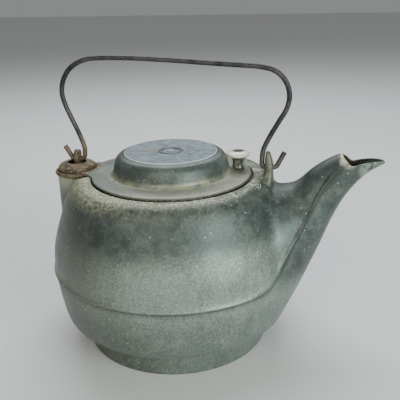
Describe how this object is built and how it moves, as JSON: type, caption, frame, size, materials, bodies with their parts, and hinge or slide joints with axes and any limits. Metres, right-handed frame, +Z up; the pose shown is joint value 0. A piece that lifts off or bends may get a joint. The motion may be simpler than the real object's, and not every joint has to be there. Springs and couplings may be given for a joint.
{
  "type": "stove kettle",
  "caption": "Cast iron stove kettle with a stepped pit base, gooseneck spout with a hooded beak, swing lid turning on the rear ear, porcelain lid knob and bent wire bail.",
  "frame": {"origin": "centre of the flat bottom of the pit, on the surface that the kettle stands on", "axes": "+X along the spout, +Z up"},
  "size_m": [0.3472, 0.2636, 0.3047],
  "materials": {
    "body_iron": "old satin cast iron, dark grey green, mottled, with mineral dust round the lid and small white specks",
    "lid_iron": "old satin cast iron, blue grey on top, rust brown at the eye",
    "porcelain": "glazed cream porcelain, stained at the neck",
    "screw_iron": "dark rusted iron screw",
    "wire_iron": "blackened iron wire, brown where the hand and the ears rub it"
  },
  "bodies": {
    "kettle": {"kettle_body": "body_iron", "spout": "body_iron"},
    "swing_lid": {"lid": "lid_iron", "knob": "porcelain", "knob_screw": "screw_iron"},
    "handle": {"bail": "wire_iron"}
  },
  "joints": [
    {"name": "lid_swivel", "type": "hinge", "parent": "kettle", "child": "swing_lid", "pos_m": [-0.1075, 0, 0.1782], "axis": [0, 0, 1], "range_deg": [-155, 155]},
    {"name": "bail_swing", "type": "hinge", "parent": "kettle", "child": "handle", "pos_m": [0, 0, 0.194], "axis": [1, 0, 0], "range_deg": [-80, 80]}
  ]
}
